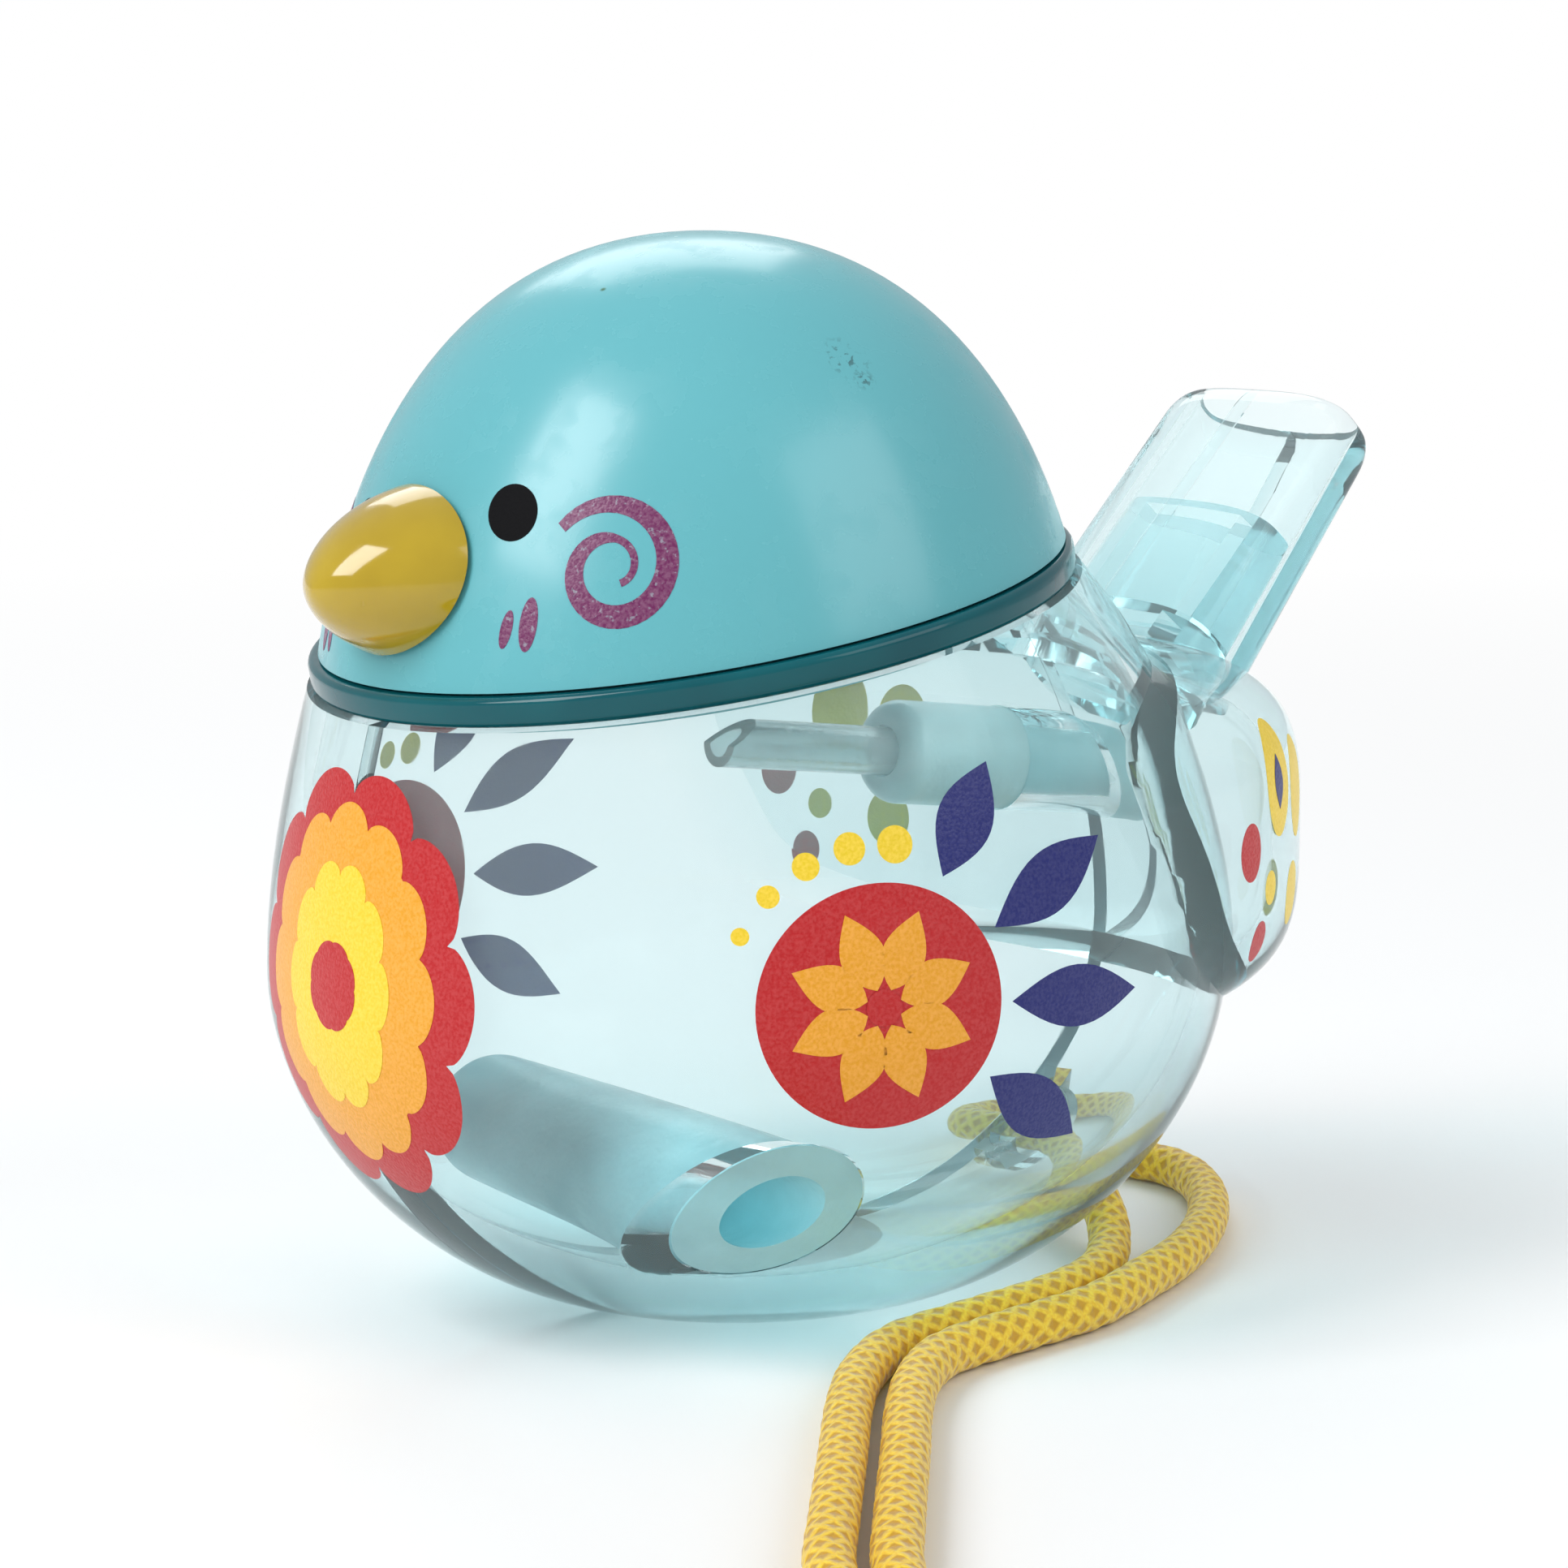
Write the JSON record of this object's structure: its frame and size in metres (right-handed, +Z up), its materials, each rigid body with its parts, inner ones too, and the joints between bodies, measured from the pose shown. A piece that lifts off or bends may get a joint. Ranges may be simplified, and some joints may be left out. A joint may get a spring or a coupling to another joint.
{
  "type": "bird whistle",
  "caption": "Hollow bird-shaped water whistle of clear plastic with a domed head cap, beak, tail mouthpiece, inner whistle pipe and a doubled neck cord.",
  "frame": {"origin": "middle of the bird's length and width without its cord, on the surface that its flat base stands on", "axes": "the bird faces -X, its left side is -Y, +Z is up"},
  "size_m": [0.0827, 0.1455, 0.0616],
  "materials": {
    "clear_shell": "clear pale aqua, polished",
    "clear_inner": "clear pale aqua, polished",
    "frosted_pipe": "frosted aqua",
    "ring": "dark teal, glossy",
    "head": "opaque light turquoise, glossy, printed eye and cheek, scuffed",
    "beak": "opaque ochre yellow, glossy",
    "cord": "braided yellow",
    "tie": "matte"
  },
  "bodies": {
    "root": {"body_left": "clear_shell", "body_right": "clear_shell", "windway_block": "clear_inner", "fipple_block": "clear_inner", "air_tube": "clear_inner", "whistle_barrel": "frosted_pipe", "side_pipe": "frosted_pipe", "neck_ring": "ring", "head_cap": "head", "beak": "beak", "cord_strand_near": "cord", "cord_strand_far": "cord", "cord_coil": "cord", "cord_knot": "cord", "cord_tie": "tie"}
  },
  "joints": []
}
